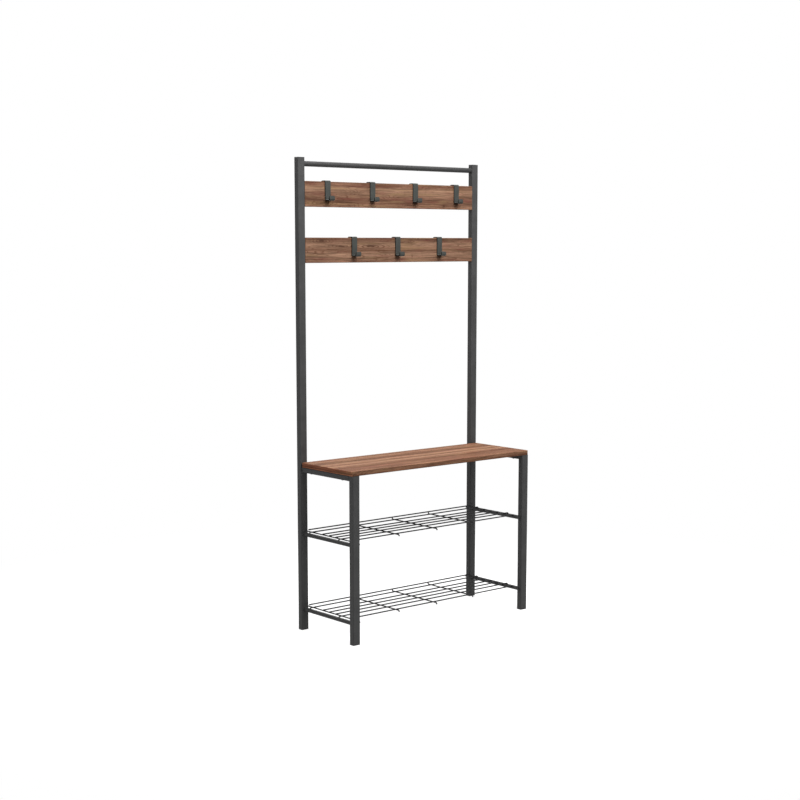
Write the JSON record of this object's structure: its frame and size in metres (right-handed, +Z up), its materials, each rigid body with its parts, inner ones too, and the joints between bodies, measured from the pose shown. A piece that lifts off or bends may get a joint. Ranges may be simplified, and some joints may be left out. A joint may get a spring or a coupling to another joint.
{
  "type": "hall tree",
  "caption": "Free-standing steel hall tree with wood hook boards, loose strap hooks that slide along them, a wood bench top and two wire shoe shelves.",
  "frame": {"origin": "on the floor, in the middle of the footprint", "axes": "+Z up, +X to the right of someone who faces the bench, +Y from the bench's front edge to the back posts and the wall; all hooks at rest stand where the object was seen with them"},
  "size_m": [0.915, 0.337, 1.8],
  "materials": {
    "frame_steel": "fine satin powder coat, charcoal",
    "shelf_wire": "satin powder coat on drawn wire, charcoal",
    "hook_steel": "fine satin powder coat on bent flat strap, charcoal",
    "wood_board": "matte reddish-brown wood-grain laminate",
    "plug_plastic": "fine moulded matte black",
    "black_fastener": "black oxide",
    "zinc_insert": "bright zinc plate"
  },
  "bodies": {
    "frame": {"left_post": "frame_steel", "right_post": "frame_steel", "left_front_leg": "frame_steel", "right_front_leg": "frame_steel", "left_bench_rail": "frame_steel", "right_bench_rail": "frame_steel", "left_upper_shelf_rail": "frame_steel", "right_upper_shelf_rail": "frame_steel", "left_lower_shelf_rail": "frame_steel", "right_lower_shelf_rail": "frame_steel", "top_bar": "frame_steel", "top_bar_spigots": "frame_steel", "upper_left_bracket": "frame_steel", "upper_right_bracket": "frame_steel", "lower_left_bracket": "frame_steel", "lower_right_bracket": "frame_steel", "upper_wire_shelf": "shelf_wire", "lower_wire_shelf": "shelf_wire", "bench_board": "wood_board", "upper_hook_board": "wood_board", "lower_hook_board": "wood_board", "left_post_cap": "plug_plastic", "right_post_cap": "plug_plastic", "left_post_foot": "plug_plastic", "right_post_foot": "plug_plastic", "left_leg_foot": "plug_plastic", "right_leg_foot": "plug_plastic", "hook_board_screws": "black_fastener", "bench_bolts": "black_fastener", "bench_inserts": "zinc_insert"},
    "upper_hook_1": {"upper_hook_1": "hook_steel"},
    "upper_hook_2": {"upper_hook_2": "hook_steel"},
    "upper_hook_3": {"upper_hook_3": "hook_steel"},
    "upper_hook_4": {"upper_hook_4": "hook_steel"},
    "lower_hook_1": {"lower_hook_1": "hook_steel"},
    "lower_hook_2": {"lower_hook_2": "hook_steel"},
    "lower_hook_3": {"lower_hook_3": "hook_steel"}
  },
  "joints": [
    {"name": "upper_hook_1_slide", "type": "slide", "parent": "frame", "child": "upper_hook_1", "axis": [1, 0, 0], "range_m": [-0.09275, 0.0965]},
    {"name": "upper_hook_2_slide", "type": "slide", "parent": "frame", "child": "upper_hook_2", "axis": [1, 0, 0], "range_m": [-0.0965, 0.0965]},
    {"name": "upper_hook_3_slide", "type": "slide", "parent": "frame", "child": "upper_hook_3", "axis": [1, 0, 0], "range_m": [-0.0965, 0.0965]},
    {"name": "upper_hook_4_slide", "type": "slide", "parent": "frame", "child": "upper_hook_4", "axis": [1, 0, 0], "range_m": [-0.0965, 0.07725]},
    {"name": "lower_hook_1_slide", "type": "slide", "parent": "frame", "child": "lower_hook_1", "axis": [1, 0, 0], "range_m": [-0.21975, 0.09675]},
    {"name": "lower_hook_2_slide", "type": "slide", "parent": "frame", "child": "lower_hook_2", "axis": [1, 0, 0], "range_m": [-0.09675, 0.09675]},
    {"name": "lower_hook_3_slide", "type": "slide", "parent": "frame", "child": "lower_hook_3", "axis": [1, 0, 0], "range_m": [-0.09675, 0.16775]}
  ]
}
